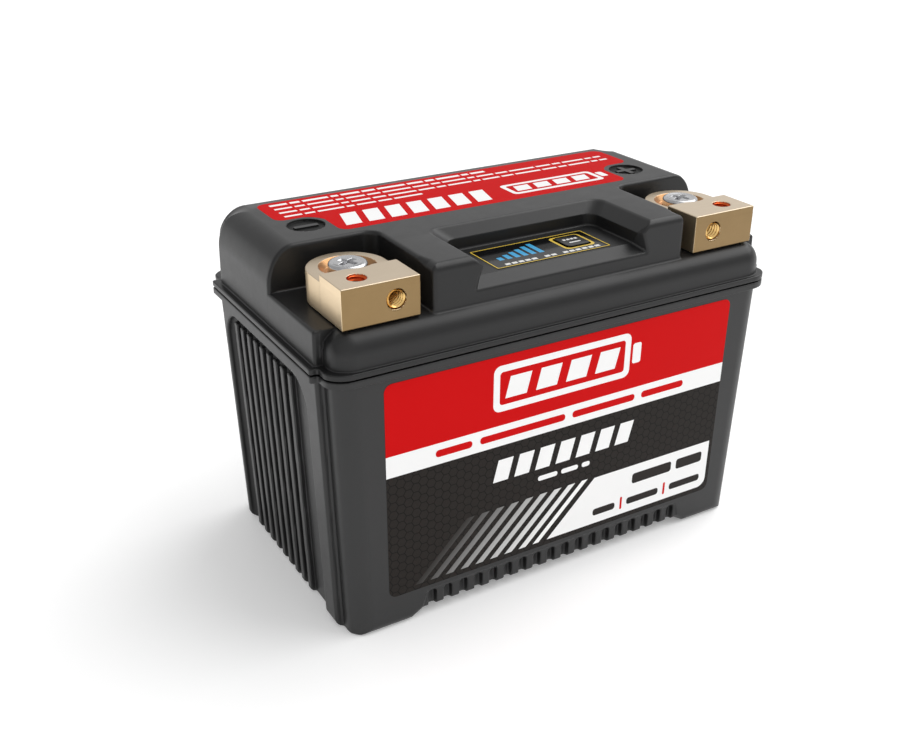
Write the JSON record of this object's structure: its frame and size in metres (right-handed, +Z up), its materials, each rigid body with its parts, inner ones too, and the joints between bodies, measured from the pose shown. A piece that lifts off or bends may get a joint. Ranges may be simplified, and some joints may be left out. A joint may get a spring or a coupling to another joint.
{
  "type": "motorcycle battery",
  "caption": "Boxy lithium motorcycle starter battery with brass block terminals at the front corners, a recessed charge display with a push button, and cells inside.",
  "frame": {"origin": "centre of the bottom of the bounding box, on the surface the battery stands on", "axes": "+X along the length towards the positive terminal, +Y towards the back, -Y is the labelled front with the terminals' threaded holes, +Z up"},
  "size_m": [0.15, 0.087, 0.105],
  "materials": {
    "case_black": "fine-textured moulded ABS, charcoal black",
    "lid_black": "fine-textured moulded ABS, charcoal black",
    "seal_rubber": "matt black sealing bead",
    "front_label_print": "printed foil: red, white and charcoal hexagon field",
    "top_label_print": "printed red foil",
    "display_film": "glossy black film with yellow border and blue bars",
    "button_film": "black cap with a yellow rounded frame",
    "terminal_brass": "satin machined brass",
    "screw_steel": "polished zinc-plated steel",
    "post_brass": "turned brass",
    "strap_copper": "bare copper strip",
    "cell_sleeve": "blue heat-shrink sleeve over a steel can",
    "holder_plastic": "black moulded plastic",
    "busbar_nickel": "nickel strip",
    "foam_grey": "closed-cell foam",
    "insulation_paper": "grey-green insulating paper",
    "board_green": "green solder resist",
    "chip_black": "black epoxy",
    "connector_white": "cream nylon",
    "display_glass": "dark display module",
    "lead_insulation": "red wire insulation"
  },
  "bodies": {
    "battery_body": {"case": "case_black", "lid": "lid_black", "seam_seal": "seal_rubber", "front_label": "front_label_print", "top_label": "top_label_print", "display_overlay": "display_film", "terminal_negative": "terminal_brass", "terminal_screw_negative": "screw_steel", "terminal_post_negative": "post_brass", "strap_negative": "strap_copper", "terminal_positive": "terminal_brass", "terminal_screw_positive": "screw_steel", "terminal_post_positive": "post_brass", "strap_positive": "strap_copper", "cell_1": "cell_sleeve", "cell_2": "cell_sleeve", "cell_3": "cell_sleeve", "cell_4": "cell_sleeve", "cell_5": "cell_sleeve", "cell_6": "cell_sleeve", "cell_7": "cell_sleeve", "cell_8": "cell_sleeve", "cell_holder_lower": "holder_plastic", "cell_holder_upper": "holder_plastic", "busbar_top_negative": "busbar_nickel", "busbar_top_middle": "busbar_nickel", "busbar_top_positive": "busbar_nickel", "busbar_bottom_left": "busbar_nickel", "busbar_bottom_right": "busbar_nickel", "foam_bottom": "foam_grey", "foam_left": "foam_grey", "foam_right": "foam_grey", "insulation_sheet": "insulation_paper", "balance_board": "board_green", "balance_connector": "connector_white", "control_chip": "chip_black", "mosfet_left": "chip_black", "mosfet_right": "chip_black", "capacitor": "chip_black", "board_spacer_left": "connector_white", "board_screw_left": "screw_steel", "display_screw_left": "screw_steel", "board_spacer_right": "connector_white", "board_screw_right": "screw_steel", "display_screw_right": "screw_steel", "balance_lead_1": "lead_insulation", "balance_lead_2": "lead_insulation", "balance_lead_3": "lead_insulation", "balance_lead_4": "lead_insulation", "balance_lead_5": "lead_insulation", "indicator_board": "board_green", "charge_display": "display_glass", "tact_switch": "chip_black", "indicator_cable": "chip_black"},
    "test_button": {"test_button": "button_film"}
  },
  "joints": [
    {"name": "test_button_press", "type": "slide", "parent": "battery_body", "child": "test_button", "axis": [0, 0, -1], "range_m": [0, 0.0004], "stiffness_N_per_m": 2500, "springref_m": -0.0002}
  ]
}
